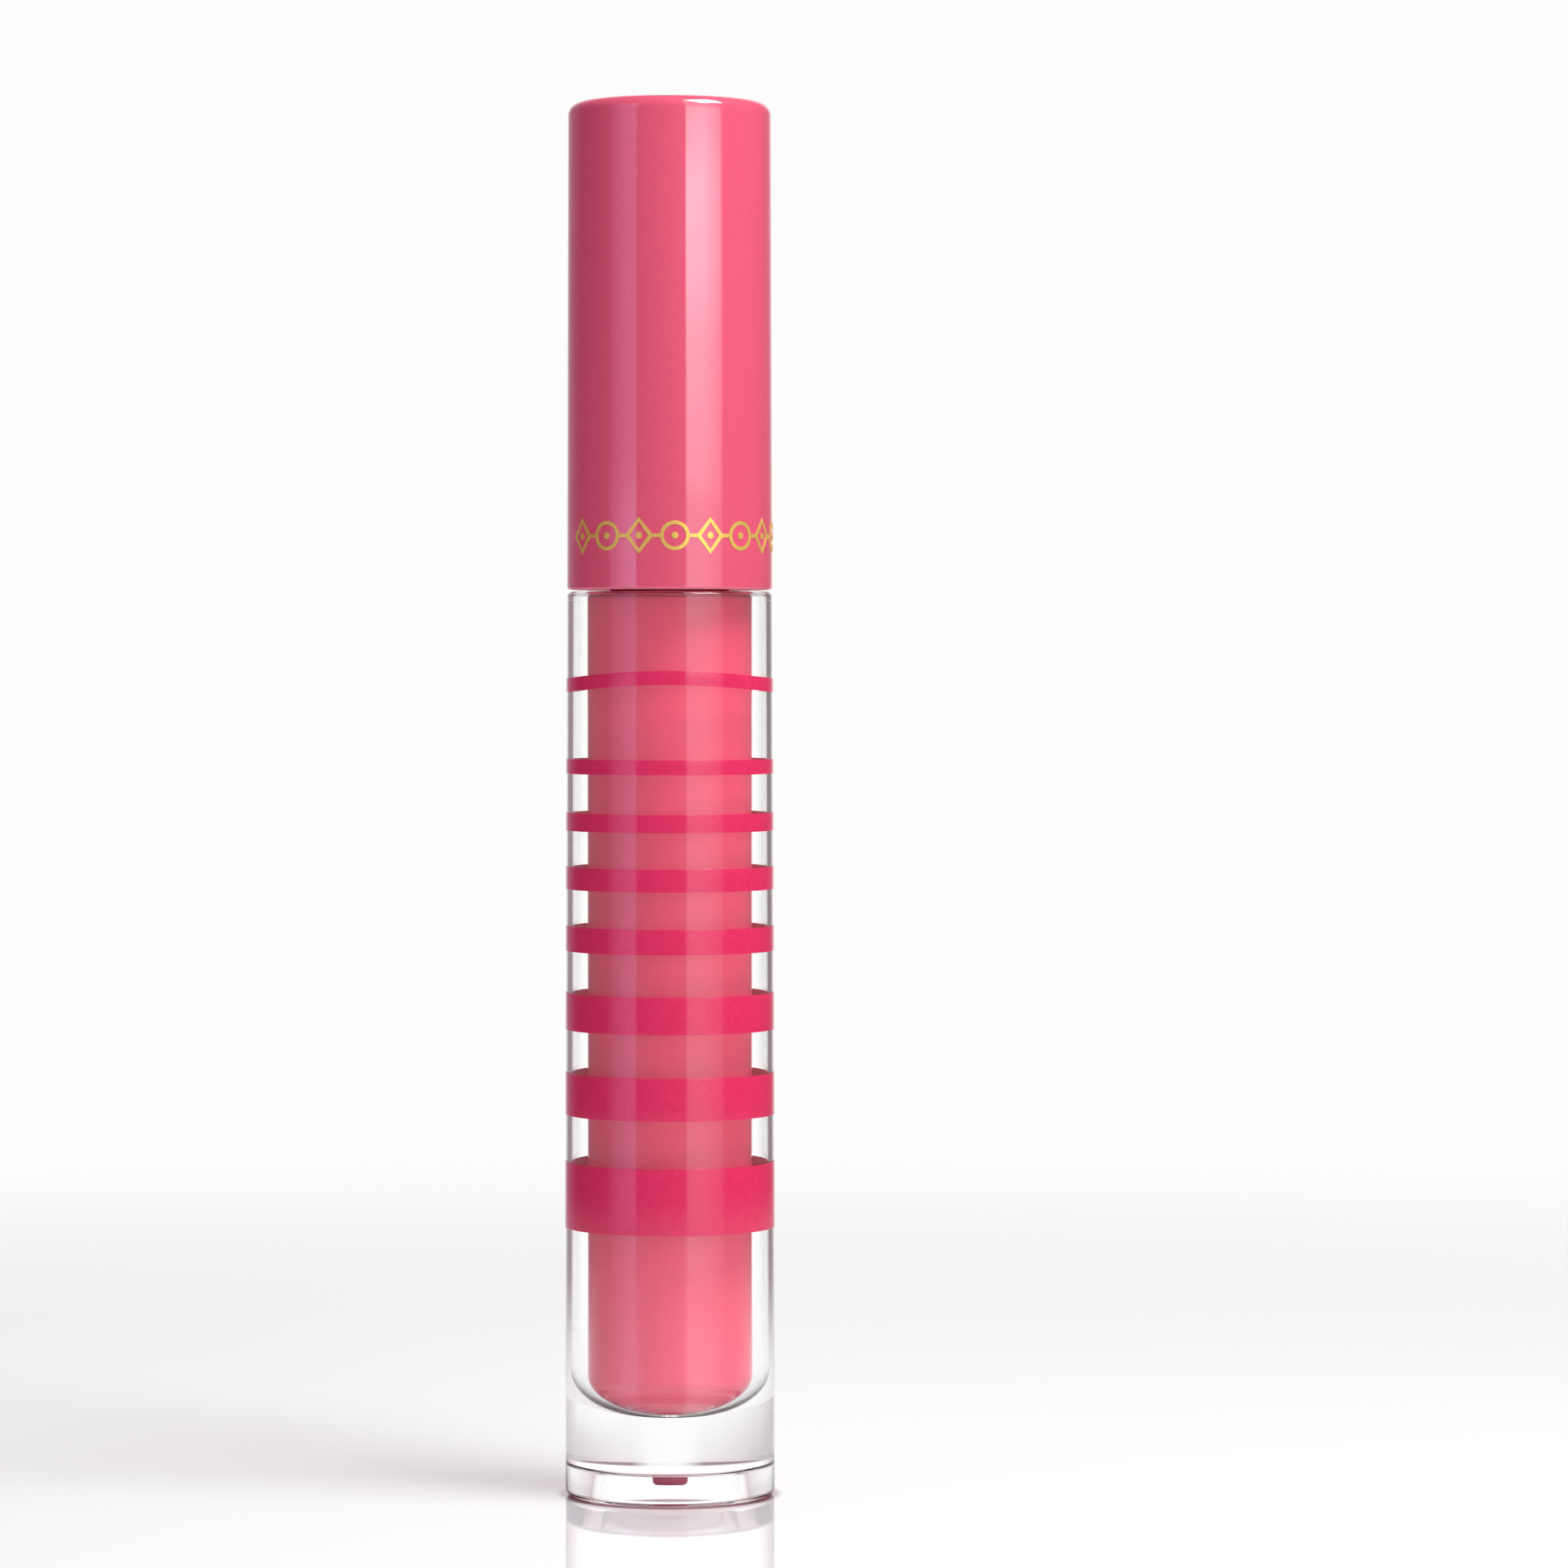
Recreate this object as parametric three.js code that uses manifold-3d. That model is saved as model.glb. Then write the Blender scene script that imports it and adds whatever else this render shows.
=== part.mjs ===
// Lip gloss tube: a clear double-wall bottle, a screw cap and a flocked wand.
// Millimetres, +Z up. The origin is the centre of the foot, on the surface it stands on.

import * as THREE from 'three';
import { mergeVertices } from 'three/addons/utils/BufferGeometryUtils.js';
import Module from 'manifold-3d';

const wasm = await Module();
wasm.setup();

// ---------------------------------------------------------------- driving dimensions

const SEGMENTS = 24; // facets round the axis, the same for every turned piece
const ARC_STEPS = 2; // steps in a filleted corner
const BOWL_STEPS = 6; // steps in a rounded bottom
const FIT = 0.02; // gap between pieces that touch
const RUN = 0.05; // gap between pieces that turn or slide on each other
const FINE_FILLET = 0.15;
const EDGE_FILLET = 0.2;
const CORNER_FILLET = 0.3;

const TOTAL_HEIGHT = 114.5;

const SHELL = {
  footRadius: 8.64,
  topRadius: 8.44,
  taperStart: 10, // the wall is a plain cylinder below this height
  boreRadius: 7.98, // at the rim
  rim: 73.68,
  footFillet: 0.6,
  bowlRadius: 8.18, // the bore widens down to its rounded bottom
  bowlBottom: 6.75,
  bowlDepth: 3.7,
  recessRadius: 6.5,
  recessDepth: 2.6,
  recessDraft: 0.35, // how much narrower the recess is at its ceiling
};

const VIAL = {
  radius: 6.8,
  boreRadius: 6.15,
  bottom: 6.85,
  bottomWall: 0.45,
  bowlDepth: 3.0,
  innerBowlDepth: 2.7,
  flangeThickness: 0.72, // at its skirt, which stands on the shell's rim
  flangePlate: 0.28,
  flangeFillet: 0.4,
  ceiling: 74.1,
  ceilingFillet: 0.25,
  shoulder: 74.42,
};

const NECK = {
  radius: 4.8,
  boreRadius: 3.4,
  top: 88,
  beadRadius: 5.3,
  beadHeight: 75.7,
  beadHalfWidth: 0.5, // at the root
  beadHalfLand: 0.25, // at the crest
};

const THREAD = {
  lead: 2.8,
  turns: 1.5,
  start: 78.6,
  neckCrest: 5.5,
  capCrest: 5.65,
  capRoot: 5.95,
  halfWidth: 0.75, // at the root
  halfLand: 0.3, // at the crest
  embed: 0.15, // how deep the ridge starts inside the wall
  runOut: 6, // facets over which each end fades into the wall
};

const GLOSS = { bottomWall: 0.45, bore: 2.65 };

const BANDS = {
  thickness: 0.04,
  arch: 0.65, // rise of the first band's front and back over its sides
  edges: [ // top and bottom height of each printed band
    [67.3, 66.17],
    [60.69, 59.49],
    [56.28, 54.81],
    [51.84, 50.0],
    [46.96, 44.92],
    [41.48, 38.44],
    [34.9, 31.43],
    [27.55, 22.14],
  ],
};

const LABEL = { radius: 5.2, thickness: 0.1, dotRadius: 1.45, dotHeight: 0.9 };

const CAP = {
  mouth: 74.55,
  mouthRadius: 8.46,
  topRadius: 8.34,
  boreRadius: 7.66,
  ceiling: 113.3,
  ceilingFillet: 0.4,
  topFillet: 1.05,
  mouthFillet: 0.25,
};

const INSERT = {
  bottom: 77,
  skirtRadius: 6.9,
  collarRadius: 7.6,
  collarBottom: 87,
  collarSlope: 0.5, // height over which the skirt widens into the collar
  ceiling: 89.7,
  deck: 91.2,
  postRadius: 3.2,
  postTop: 98,
  socketTop: 96.9,
};

const WASHER = { outer: 5.1, inner: 1.9, thickness: 0.8 };

const WIPER = {
  flangeRadius: 4.6,
  flangeThickness: 0.75,
  wall: 0.5,
  lipTop: 80,
  lipBottom: 77.4,
  lipThickness: 0.45,
  heel: 0.2, // extra height of the lip where it meets the sleeve
};

const STEM = {
  radius: 1.5,
  bottom: 18.55,
  top: 96.8,
  socketRadius: 0.79,
  socketTop: 24.8,
  grooveDepth: 0.1,
  grooveHalfWidth: 0.3, // at the surface
  grooveHalfLand: 0.15, // at the bottom
  grooves: [91.5, 93, 94.5],
};

const TIP = {
  apex: 8.7,
  top: 18.4,
  flock: 0.35, // thickness of the flock coat
  apexOffset: -0.95, // the slanted end leans to one side
  leanPower: 1.5, // how the lean dies away above the apex
  apexFlatness: 0.72, // depth over width at the apex; the tip is round at its top
  pegRadius: 0.75,
  pegTop: 24.6,
  sides: 16,
  width: [ // share of the way up from the apex, and half width of the core there
    [0, 0.35], [0.04, 0.7], [0.15, 1.15], [0.35, 1.6], [0.6, 1.85], [0.82, 1.75], [0.94, 1.5], [1, 1.3],
  ],
};

const FOIL = {
  bottom: 77.4,
  height: 3,
  thickness: 0.04,
  stroke: 0.3,
  lozengeStroke: 0.42, // a lozenge's stroke, measured along its axes
  startAngle: -66, // degrees from the front of the cap, round to the right
  sweep: 200,
  motifs: 10,
  fill: 0.82, // width of a motif over the pitch
  columns: [-1, -0.6, 0, 0.6, 1], // where a motif's opening has its corners, over its half width
};

// ---------------------------------------------------------------- geometry helpers

// A profile from corners [radius, height, fillet], with an arc at each filleted corner.
function rounded(corners) {
  const points = [];
  corners.forEach(([radius, height, fillet = 0], i) => {
    const corner = new THREE.Vector2(radius, height);
    if (fillet === 0) {
      points.push(corner);
      return;
    }
    const back = new THREE.Vector2(...corners.at(i - 1)).sub(corner).normalize();
    const ahead = new THREE.Vector2(...corners[(i + 1) % corners.length]).sub(corner).normalize();
    const half = Math.acos(back.dot(ahead)) / 2;
    const centre = back.clone().add(ahead).normalize().multiplyScalar(fillet / Math.sin(half)).add(corner);
    const reach = fillet / Math.tan(half);
    const from = back.clone().multiplyScalar(reach).add(corner).sub(centre);
    const to = ahead.clone().multiplyScalar(reach).add(corner).sub(centre);
    const turn = Math.atan2(from.cross(to), from.dot(to));
    for (let k = 0; k <= ARC_STEPS; k++) {
      points.push(from.clone().rotateAround(new THREE.Vector2(), (turn * k) / ARC_STEPS).add(centre));
    }
  });
  return points;
}

// A quarter ellipse from the axis at the bottom out to the wall.
function bowl(radius, depth, bottom) {
  return Array.from({ length: BOWL_STEPS + 1 }, (_, k) => {
    const angle = (Math.PI / 2) * (k / BOWL_STEPS);
    return new THREE.Vector2(radius * Math.sin(angle), bottom + depth * (1 - Math.cos(angle)));
  });
}

// A solid of revolution about +Z. The profile runs anticlockwise, seen with the axis at its left.
function turned(points) {
  return new THREE.LatheGeometry(points, SEGMENTS).rotateX(Math.PI / 2);
}

// A turned ring: its profile closes on its own first point.
function turnedRing(corners) {
  const points = rounded(corners);
  return turned([...points, points[0].clone()]);
}

// A closed surface collected face by face, with the corners of each face anticlockwise from outside.
class Faces {
  corners = [];

  quad(a, b, c, d) {
    this.triangle(a, b, c);
    this.triangle(a, c, d);
  }

  triangle(a, b, c) {
    this.corners.push(a, b, c);
  }

  geometry() {
    return merged(new THREE.BufferGeometry().setFromPoints(this.corners));
  }
}

// The same surface with every shared vertex stored once, and faces that have no area left out.
function merged(geometry) {
  const plain = geometry.clone();
  plain.deleteAttribute('normal');
  plain.deleteAttribute('uv');
  const joined = mergeVertices(plain);
  const index = joined.index.array;
  const kept = [];
  for (let i = 0; i < index.length; i += 3) {
    const [a, b, c] = index.slice(i, i + 3);
    if (a !== b && b !== c && c !== a) {
      kept.push(a, b, c);
    }
  }
  joined.setIndex(kept);
  return joined;
}

function solid(geometry) {
  const shared = merged(geometry);
  return new wasm.Manifold(new wasm.Mesh({
    numProp: 3,
    vertProperties: new Float32Array(shared.attributes.position.array),
    triVerts: new Uint32Array(shared.index.array),
  }));
}

function union(first, second) {
  const mesh = solid(first).add(solid(second)).getMesh();
  const geometry = new THREE.BufferGeometry();
  geometry.setAttribute('position', new THREE.BufferAttribute(mesh.vertProperties, 3));
  geometry.setIndex(new THREE.BufferAttribute(mesh.triVerts, 1));
  return geometry;
}

// A ridge that winds up round the axis. It starts inside the wall at root and fades out at both ends.
function threadRidge(root, crest, start) {
  const steps = Math.round(THREAD.turns * SEGMENTS);
  const sections = [];
  for (let i = 0; i <= steps; i++) {
    const angle = (2 * Math.PI * i) / SEGMENTS;
    const height = start + (THREAD.lead * i) / SEGMENTS;
    const rise = Math.min(1, (i + 0.5) / THREAD.runOut, (steps - i + 0.5) / THREAD.runOut);
    const peak = root + (crest - root) * rise;
    const place = (radius, z) => new THREE.Vector3(radius * Math.sin(angle), -radius * Math.cos(angle), z);
    sections.push([
      place(root, height - THREAD.halfWidth),
      place(peak, height - THREAD.halfLand),
      place(peak, height + THREAD.halfLand),
      place(root, height + THREAD.halfWidth),
    ]);
  }
  return swept(sections, crest < root);
}

// The closed surface through a row of sections. Each section runs anticlockwise seen from ahead.
function swept(sections, flipped = false) {
  const faces = new Faces();
  const face = (a, b, c, d) => (flipped ? faces.quad(a, d, c, b) : faces.quad(a, b, c, d));
  const count = sections[0].length;
  for (let i = 1; i < sections.length; i++) {
    const [behind, ahead] = [sections[i - 1], sections[i]];
    for (let k = 0; k < count; k++) {
      const next = (k + 1) % count;
      face(behind[k], ahead[k], ahead[next], behind[next]);
    }
  }
  const [first, last] = [sections[0], sections.at(-1)];
  for (let k = 1; k < count - 1; k++) {
    face(first[0], first[k], first[k + 1], first[0]);
    face(last[0], last[k + 1], last[k], last[0]);
  }
  return faces.geometry();
}

// ---------------------------------------------------------------- bottle

function shellRadius(height) {
  const along = THREE.MathUtils.clamp((height - SHELL.taperStart) / (SHELL.rim - SHELL.taperStart), 0, 1);
  return THREE.MathUtils.lerp(SHELL.footRadius, SHELL.topRadius, along);
}

function outerShell() {
  const outside = rounded([
    [0, SHELL.recessDepth],
    [SHELL.recessRadius - SHELL.recessDraft, SHELL.recessDepth, CORNER_FILLET],
    [SHELL.recessRadius, 0, EDGE_FILLET],
    [SHELL.footRadius, 0, SHELL.footFillet],
    [SHELL.footRadius, SHELL.taperStart],
    [SHELL.topRadius, SHELL.rim],
    [SHELL.boreRadius, SHELL.rim],
  ]);
  return turned([...outside, ...bowl(SHELL.bowlRadius, SHELL.bowlDepth, SHELL.bowlBottom).reverse()]);
}

function innerVial() {
  const flangeBottom = VIAL.shoulder - VIAL.flangeThickness;
  const plateBottom = VIAL.shoulder - VIAL.flangePlate;
  const outside = rounded([
    [VIAL.radius, VIAL.bottom + VIAL.bowlDepth],
    [VIAL.radius, plateBottom, FINE_FILLET],
    [SHELL.boreRadius, plateBottom, FINE_FILLET],
    [SHELL.boreRadius, flangeBottom],
    [SHELL.topRadius, flangeBottom],
    [SHELL.topRadius, VIAL.shoulder, VIAL.flangeFillet],
    [NECK.radius, VIAL.shoulder, CORNER_FILLET],
    [NECK.radius, NECK.beadHeight - NECK.beadHalfWidth],
    [NECK.beadRadius, NECK.beadHeight - NECK.beadHalfLand],
    [NECK.beadRadius, NECK.beadHeight + NECK.beadHalfLand],
    [NECK.radius, NECK.beadHeight + NECK.beadHalfWidth],
    [NECK.radius, NECK.top, EDGE_FILLET],
    [NECK.boreRadius, NECK.top, FINE_FILLET],
    [NECK.boreRadius, VIAL.ceiling, EDGE_FILLET],
    [VIAL.boreRadius, VIAL.ceiling, VIAL.ceilingFillet],
    [VIAL.boreRadius, VIAL.bottom + VIAL.bowlDepth],
  ]);
  const body = turned([
    ...bowl(VIAL.radius, VIAL.bowlDepth, VIAL.bottom).slice(0, -1),
    ...outside.slice(0, -1),
    ...bowl(VIAL.boreRadius, VIAL.innerBowlDepth, VIAL.bottom + VIAL.bottomWall).reverse(),
  ]);
  return union(body, threadRidge(NECK.radius - THREAD.embed, THREAD.neckCrest, THREAD.start));
}

function glossFill() {
  const radius = VIAL.boreRadius - FIT;
  const top = VIAL.ceiling - FIT;
  const bottom = VIAL.bottom + VIAL.bottomWall + FIT;
  const boreBottom = bottom + GLOSS.bottomWall;
  const wall = rounded([
    [radius, bottom + VIAL.innerBowlDepth],
    [radius, top, VIAL.ceilingFillet],
    [GLOSS.bore, top],
    [GLOSS.bore, boreBottom],
    [0, boreBottom],
  ]);
  return turned([...bowl(radius, VIAL.innerBowlDepth, bottom), ...wall.slice(1)]);
}

// One printed band. The arch lifts its front and back, as on the band nearest the shoulder.
function band([top, bottom], arch) {
  const radii = [bottom, top].map((height) => shellRadius(height) + FIT);
  const geometry = turnedRing([
    [radii[0], bottom],
    [radii[0] + BANDS.thickness, bottom],
    [radii[1] + BANDS.thickness, top],
    [radii[1], top],
  ]);
  const position = geometry.attributes.position;
  for (let i = 0; i < position.count; i++) {
    const across = position.getY(i) / radii[0];
    position.setZ(i, position.getZ(i) + arch * across * across);
  }
  return geometry;
}

function wiper() {
  const outer = NECK.boreRadius - FIT;
  const inner = outer - WIPER.wall;
  const seat = NECK.top + FIT;
  const orifice = STEM.radius + RUN;
  return turnedRing([
    [orifice, WIPER.lipBottom],
    [outer, WIPER.lipTop],
    [outer, seat],
    [WIPER.flangeRadius, seat],
    [WIPER.flangeRadius, seat + WIPER.flangeThickness, EDGE_FILLET],
    [inner, seat + WIPER.flangeThickness, CORNER_FILLET],
    [inner, WIPER.lipTop + WIPER.heel],
    [orifice, WIPER.lipBottom + WIPER.lipThickness],
  ]);
}

// A film disc with a raised gel dot in its middle, on the ceiling of the recess.
function baseLabel() {
  const top = SHELL.recessDepth - FIT;
  const face = top - LABEL.thickness;
  return turned(rounded([
    [0, face - LABEL.dotHeight],
    [LABEL.dotRadius, face - LABEL.dotHeight, EDGE_FILLET],
    [LABEL.dotRadius, face],
    [LABEL.radius, face],
    [LABEL.radius, top],
    [0, top],
  ]));
}

// ---------------------------------------------------------------- cap

function capRadius(height) {
  const along = (height - CAP.mouth) / (TOTAL_HEIGHT - CAP.mouth);
  return THREE.MathUtils.lerp(CAP.mouthRadius, CAP.topRadius, along);
}

function capOvershell() {
  return turned(rounded([
    [0, CAP.ceiling],
    [CAP.boreRadius, CAP.ceiling, CAP.ceilingFillet],
    [CAP.boreRadius, CAP.mouth, FINE_FILLET],
    [CAP.mouthRadius, CAP.mouth, CAP.mouthFillet],
    [CAP.topRadius, TOTAL_HEIGHT, CAP.topFillet],
    [0, TOTAL_HEIGHT],
  ]));
}

function capInsert() {
  const socket = STEM.radius + RUN;
  const body = turned(rounded([
    [0, INSERT.socketTop],
    [socket, INSERT.socketTop],
    [socket, INSERT.ceiling],
    [THREAD.capRoot, INSERT.ceiling, EDGE_FILLET],
    [THREAD.capRoot, INSERT.bottom, EDGE_FILLET],
    [INSERT.skirtRadius, INSERT.bottom, EDGE_FILLET],
    [INSERT.skirtRadius, INSERT.collarBottom - INSERT.collarSlope],
    [INSERT.collarRadius, INSERT.collarBottom],
    [INSERT.collarRadius, INSERT.deck],
    [INSERT.postRadius, INSERT.deck, CORNER_FILLET],
    [INSERT.postRadius, INSERT.postTop, CORNER_FILLET],
    [0, INSERT.postTop],
  ]));
  const start = THREAD.start + THREAD.lead / 2;
  return union(body, threadRidge(THREAD.capRoot + THREAD.embed, THREAD.capCrest, start));
}

function sealWasher() {
  const bottom = INSERT.ceiling - FIT - WASHER.thickness;
  return turnedRing([
    [WASHER.inner, bottom],
    [WASHER.outer, bottom],
    [WASHER.outer, bottom + WASHER.thickness],
    [WASHER.inner, bottom + WASHER.thickness],
  ]);
}

// Half height of a motif at a place across it, from -1 to 1: sharpness 1 is a lozenge, 2 a ring.
function motifHeight(across, sharpness) {
  return Math.abs(across) >= 1 ? 0 : (1 - Math.abs(across) ** sharpness) ** (1 / sharpness);
}

// The frieze's columns along the cap: outer half height and the half height of the opening.
function friezeColumns(pitch) {
  const half = (pitch * FOIL.fill) / 2;
  const columns = [];
  for (let m = 0; m < FOIL.motifs; m++) {
    const sharpness = m % 2 === 0 ? 1 : 2;
    const height = FOIL.height / 2 - (m % 2 === 0 ? 0 : FOIL.stroke);
    const inset = sharpness === 1 ? FOIL.lozengeStroke : FOIL.stroke;
    const opening = half - inset;
    const rim = half - inset / 2;
    for (const place of [-half, -rim, ...FOIL.columns.map((share) => share * opening), rim, half]) {
      columns.push({
        along: (m + 0.5) * pitch + place,
        outer: Math.max(FOIL.stroke / 2, height * motifHeight(place / half, sharpness)),
        opening: (height - inset) * motifHeight(place / opening, sharpness),
      });
    }
  }
  return columns;
}

// Gold foil: a chain of lozenges and rings, wrapped on the cap as one thin piece.
function foilTrim() {
  const middle = FOIL.bottom + FOIL.height / 2;
  const radius = capRadius(middle);
  const pitch = (THREE.MathUtils.degToRad(FOIL.sweep) * radius) / FOIL.motifs;
  const thickness = FOIL.thickness;
  const place = (column, height, lift) => {
    const angle = THREE.MathUtils.degToRad(FOIL.startAngle) + column.along / radius;
    const reach = capRadius(middle + height) + FIT + lift;
    return new THREE.Vector3(reach * Math.sin(angle), -reach * Math.cos(angle), middle + height);
  };
  const faces = new Faces();
  const wall = (a, b, heightA, heightB) => faces.quad(
    place(a, heightA, 0), place(b, heightB, 0), place(b, heightB, thickness), place(a, heightA, thickness));
  const columns = friezeColumns(pitch);
  for (let i = 1; i < columns.length; i++) {
    const [a, b] = [columns[i - 1], columns[i]];
    for (const [lowA, highA, lowB, highB] of [
      [a.opening, a.outer, b.opening, b.outer],
      [-a.outer, -a.opening, -b.outer, -b.opening],
    ]) {
      const corners = [[a, lowA], [b, lowB], [b, highB], [a, highA]];
      faces.quad(...corners.map(([column, height]) => place(column, height, thickness)));
      faces.quad(...corners.reverse().map(([column, height]) => place(column, height, 0)));
    }
    wall(a, b, -a.outer, -b.outer);
    wall(b, a, b.outer, a.outer);
    if (a.opening > 0 || b.opening > 0) {
      wall(a, b, a.opening, b.opening);
      wall(b, a, -b.opening, -a.opening);
    }
  }
  for (const [end, sign] of [[columns[0], 1], [columns.at(-1), -1]]) {
    for (const [low, high] of [[-end.outer, 0], [0, end.outer]]) {
      const [from, to] = sign > 0 ? [high, low] : [low, high];
      wall(end, end, from, to);
    }
  }
  return faces.geometry();
}

// ---------------------------------------------------------------- wand

function wandStem() {
  const grooves = STEM.grooves.flatMap((height) => [
    [STEM.radius, height - STEM.grooveHalfWidth],
    [STEM.radius - STEM.grooveDepth, height - STEM.grooveHalfLand],
    [STEM.radius - STEM.grooveDepth, height + STEM.grooveHalfLand],
    [STEM.radius, height + STEM.grooveHalfWidth],
  ]);
  return turned(rounded([
    [0, STEM.socketTop],
    [STEM.socketRadius, STEM.socketTop],
    [STEM.socketRadius, STEM.bottom],
    [STEM.radius, STEM.bottom, EDGE_FILLET],
    ...grooves,
    [STEM.radius, STEM.top, CORNER_FILLET],
    [0, STEM.top],
  ]));
}

// One section of the slanted tip, at a share of the way up from its apex.
function tipSection(share, half, height) {
  const depth = half * THREE.MathUtils.lerp(TIP.apexFlatness, 1, share);
  const lean = TIP.apexOffset * (1 - share) ** TIP.leanPower;
  return Array.from({ length: TIP.sides }, (_, k) => {
    const angle = (2 * Math.PI * k) / TIP.sides;
    return new THREE.Vector3(lean + half * Math.cos(angle), depth * Math.sin(angle), height);
  });
}

// Sections from the apex at the bottom of the tip to its top, grown outwards by a margin.
function tipSections(bottom, top, grow) {
  return TIP.width.map(([share, half]) => tipSection(
    share, half + grow, THREE.MathUtils.lerp(bottom, top, share)));
}

function pegSection(height) {
  return Array.from({ length: TIP.sides }, (_, k) => {
    const angle = (2 * Math.PI * k) / TIP.sides;
    return new THREE.Vector3(TIP.pegRadius * Math.cos(angle), TIP.pegRadius * Math.sin(angle), height);
  });
}

function applicatorCore() {
  const top = STEM.bottom - RUN;
  return swept([
    ...tipSections(TIP.apex + TIP.flock, top, 0),
    pegSection(top),
    pegSection(TIP.pegTop),
  ], true);
}

// The flock is a cup: its outside runs up from the apex, and its inside back down over the core.
function flockSleeve() {
  return swept([
    ...tipSections(TIP.apex, TIP.top, TIP.flock),
    ...tipSections(TIP.apex + TIP.flock - RUN, TIP.top, RUN).reverse(),
  ], true);
}

// ---------------------------------------------------------------- assembly

const FINISH = {
  clear: { color: 0xf4f6f6, roughness: 0.04, metalness: 0, transparent: true, opacity: 0.25 },
  gloss: { color: 0xe0567c, roughness: 0.3, metalness: 0 },
  ink: { color: 0xcf2f66, roughness: 0.35, metalness: 0 },
  cap: { color: 0xe2466c, roughness: 0.15, metalness: 0 },
  foil: { color: 0xe6c463, roughness: 0.25, metalness: 1 },
  white: { color: 0xf5f1f2, roughness: 0.35, metalness: 0 },
  insert: { color: 0x7d1836, roughness: 0.4, metalness: 0 },
  flock: { color: 0xb23f5c, roughness: 0.9, metalness: 0 },
  seal: { color: 0xe9e6e4, roughness: 0.7, metalness: 0 },
};

function part(name, geometry, finish) {
  const mesh = new THREE.Mesh(geometry, new THREE.MeshStandardMaterial(finish));
  mesh.name = name;
  return mesh;
}

const bottle = new THREE.Group();
bottle.add(
  part('outer_shell', outerShell(), FINISH.clear),
  part('inner_vial', innerVial(), FINISH.clear),
  part('gloss_fill', glossFill(), FINISH.gloss),
  part('wiper', wiper(), FINISH.white),
  part('base_label', baseLabel(), FINISH.white),
  ...BANDS.edges.map((edges, i) => part(`band_${i + 1}`, band(edges, i === 0 ? BANDS.arch : 0), FINISH.ink)),
);

const cap = new THREE.Group();
cap.add(
  part('cap_overshell', capOvershell(), FINISH.cap),
  part('cap_insert', capInsert(), FINISH.insert),
  part('foil_trim', foilTrim(), FINISH.foil),
  part('seal_washer', sealWasher(), FINISH.seal),
);

const wand = new THREE.Group();
wand.add(
  part('wand_stem', wandStem(), FINISH.white),
  part('applicator_core', applicatorCore(), FINISH.white),
  part('flock_sleeve', flockSleeve(), FINISH.flock),
);

const tube = new THREE.Group();
tube.add(bottle, cap, wand);

export default tube;
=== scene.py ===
import math
import random

import bpy
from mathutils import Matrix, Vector

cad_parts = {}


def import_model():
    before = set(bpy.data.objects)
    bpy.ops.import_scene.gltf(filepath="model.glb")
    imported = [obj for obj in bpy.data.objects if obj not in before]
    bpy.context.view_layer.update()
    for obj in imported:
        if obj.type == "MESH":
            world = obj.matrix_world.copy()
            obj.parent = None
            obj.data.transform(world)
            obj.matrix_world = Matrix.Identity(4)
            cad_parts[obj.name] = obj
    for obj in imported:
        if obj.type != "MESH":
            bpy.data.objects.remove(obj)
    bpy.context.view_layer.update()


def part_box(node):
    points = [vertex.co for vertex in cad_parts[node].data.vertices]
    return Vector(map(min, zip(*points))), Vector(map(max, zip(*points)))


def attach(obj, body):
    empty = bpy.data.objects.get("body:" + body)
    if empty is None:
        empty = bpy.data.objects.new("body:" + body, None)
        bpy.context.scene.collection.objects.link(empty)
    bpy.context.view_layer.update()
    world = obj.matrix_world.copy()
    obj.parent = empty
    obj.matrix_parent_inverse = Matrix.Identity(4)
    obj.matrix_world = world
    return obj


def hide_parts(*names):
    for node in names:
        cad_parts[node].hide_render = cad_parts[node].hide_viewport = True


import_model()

# Profiles are in millimetres, as [radius, height], and meshes are made in metres.
MM = 0.001
SEGMENTS = 192
ARC_STEPS = 8
BOWL_STEPS = 32


# ---------------------------------------------------------------- places from the frame

def reach(node):
    """The outer radius, lowest height and highest height of a CAD node, in millimetres."""
    low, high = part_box(node)
    return (high[0] - low[0]) / 2 / MM, low[2] / MM, high[2] / MM


SHELL_RADIUS, _, SHELL_RIM = reach("outer_shell")
VIAL_RADIUS_MAX, VIAL_BOTTOM, NECK_TOP = reach("inner_vial")
CAP_MOUTH_RADIUS, CAP_MOUTH, CAP_TOP = reach("cap_overshell")
INSERT_RADIUS, INSERT_BOTTOM, POST_TOP = reach("cap_insert")
WASHER_RADIUS, WASHER_BOTTOM, WASHER_TOP = reach("seal_washer")
WIPER_FLANGE, WIPER_BOTTOM, WIPER_TOP = reach("wiper")
STEM_RADIUS, STEM_BOTTOM, STEM_TOP = reach("wand_stem")
LABEL_RADIUS, LABEL_BOTTOM, LABEL_TOP = reach("base_label")
_, TIP_APEX, TIP_TOP = reach("flock_sleeve")
_, FOIL_BOTTOM, FOIL_TOP = reach("foil_trim")
BANDS = [f"band_{i}" for i in range(1, 9)]

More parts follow.
